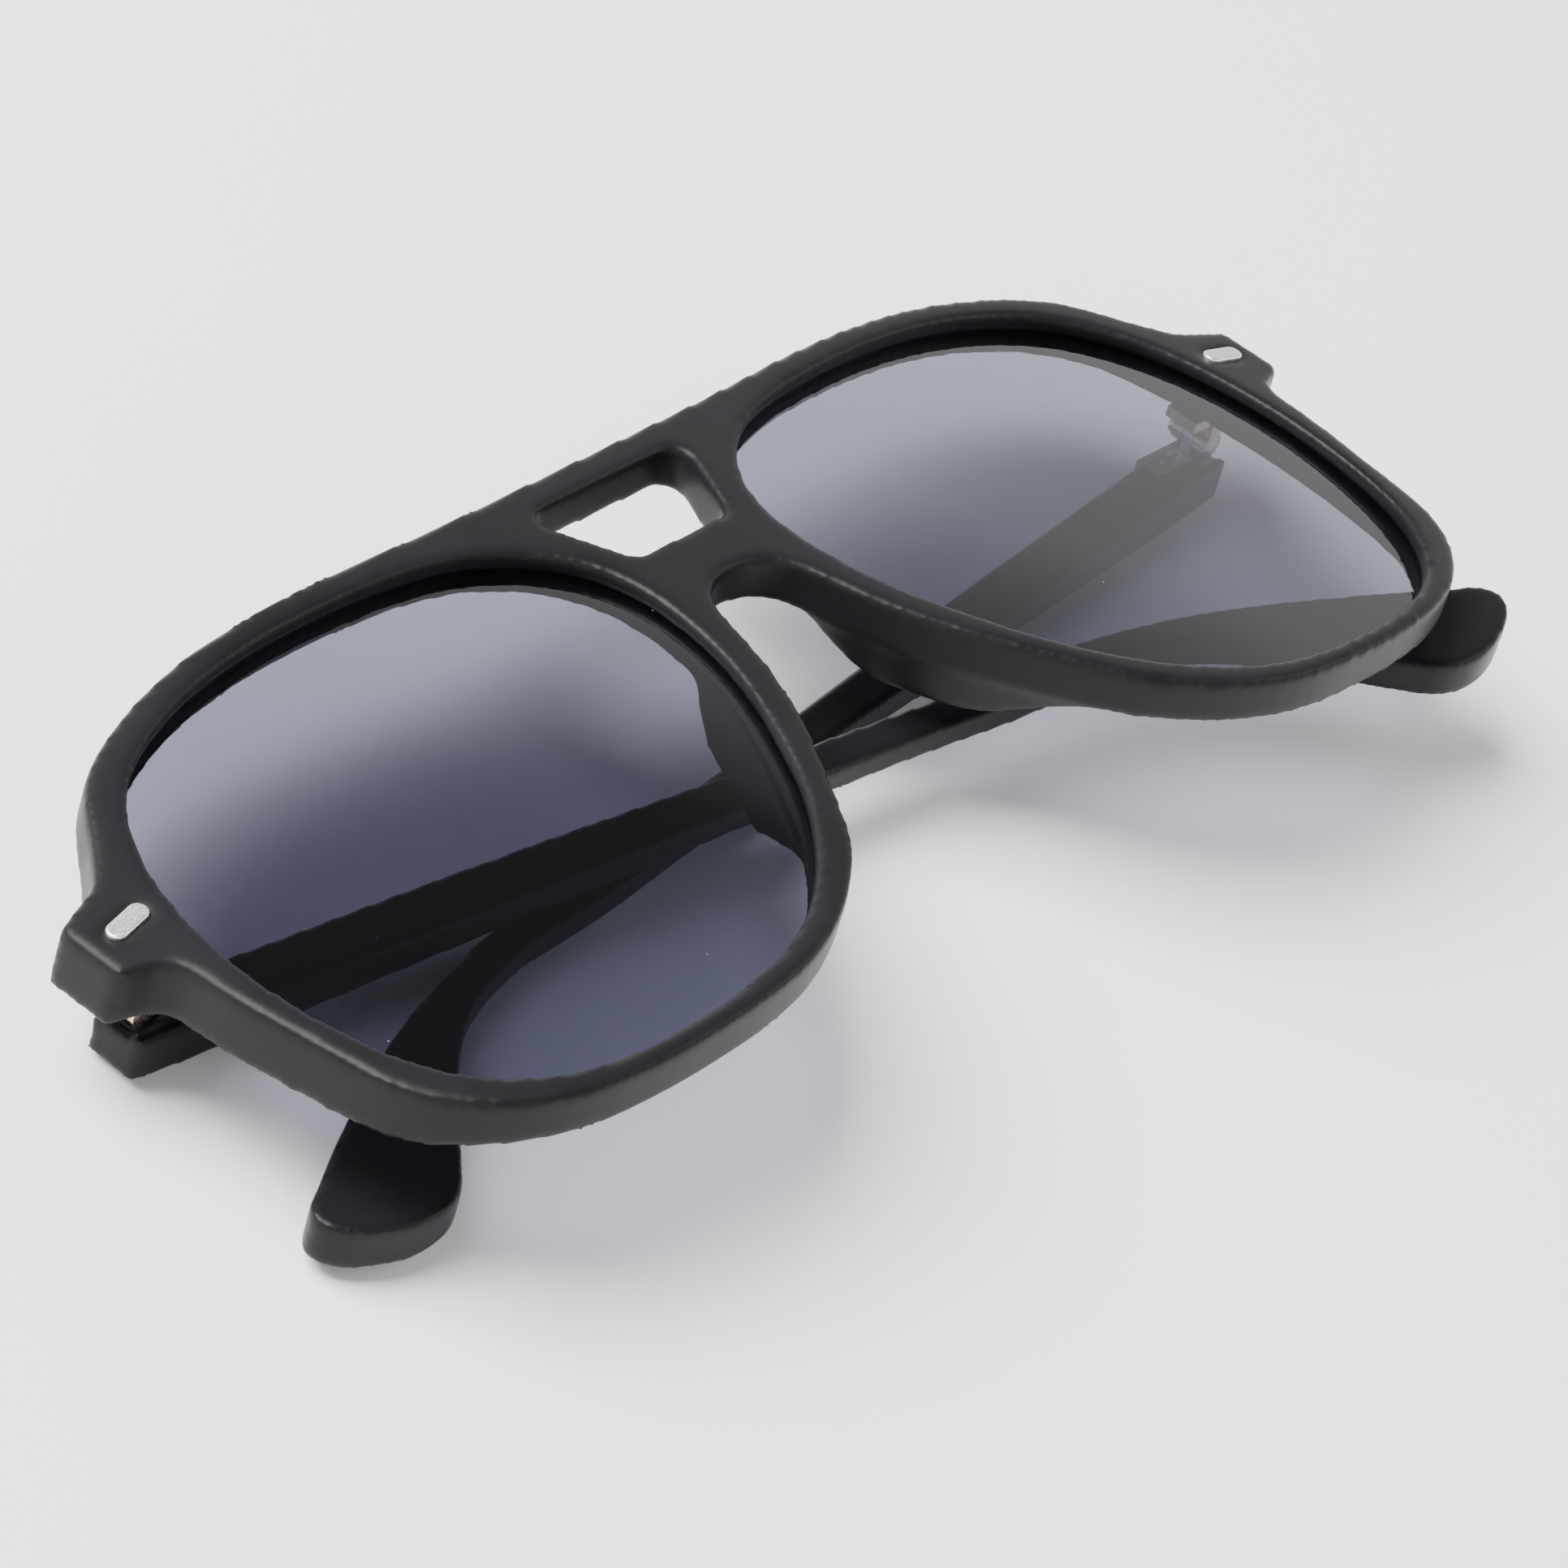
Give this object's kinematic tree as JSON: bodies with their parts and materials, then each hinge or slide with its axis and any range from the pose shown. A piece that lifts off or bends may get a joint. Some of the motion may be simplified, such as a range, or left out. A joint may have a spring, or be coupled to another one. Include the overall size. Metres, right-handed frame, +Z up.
{
  "type": "sunglasses",
  "caption": "Navigator-style sunglasses with a double bridge, grey tinted lenses and two hinged temples, folded with the left temple outermost.",
  "frame": {"origin": "bottom centre of the whole object's bounding box, on the surface the folded temples rest on", "axes": "+X towards the wearer's left along the front, +Y towards the brow, +Z up, out of the front face"},
  "size_m": [0.146, 0.055, 0.0209],
  "materials": {
    "frame": "soft-touch matte black",
    "temple": "soft-touch matte black",
    "lens": "polished, lavender-grey tint",
    "pin": "polished",
    "hinge": "brushed",
    "barrel": "satin, nickel-copper tone",
    "screw": "satin",
    "core": "drawn wire"
  },
  "bodies": {
    "front": {"front_frame": "frame", "lens_left": "lens", "lens_right": "lens", "front_pin_left": "pin", "front_pin_right": "pin", "hinge_front_leaf_left": "barrel", "hinge_front_leaf_right": "barrel", "hinge_screw_left": "screw", "hinge_screw_right": "screw"},
    "left_temple": {"temple_left": "temple", "hinge_temple_leaf_left": "hinge", "temple_leaf_screws_left": "screw", "temple_core_left": "core"},
    "right_temple": {"temple_right": "temple", "hinge_temple_leaf_right": "hinge", "temple_leaf_screws_right": "screw", "temple_core_right": "core"}
  },
  "joints": [
    {"name": "left_temple_hinge", "type": "hinge", "parent": "front", "child": "left_temple", "pos_m": [0.0674, 0.0075, 0.00557], "axis": [-0.0332, -0.991, 0.1296], "range_deg": [0, 90]},
    {"name": "right_temple_hinge", "type": "hinge", "parent": "front", "child": "right_temple", "pos_m": [-0.0674, 0.0075, 0.00557], "axis": [0.0332, 0.991, -0.1296], "range_deg": [0, 93]}
  ],
  "couplings": [
    {"joint": "right_temple_hinge", "follows": "left_temple_hinge", "ratio": 0.88}
  ]
}
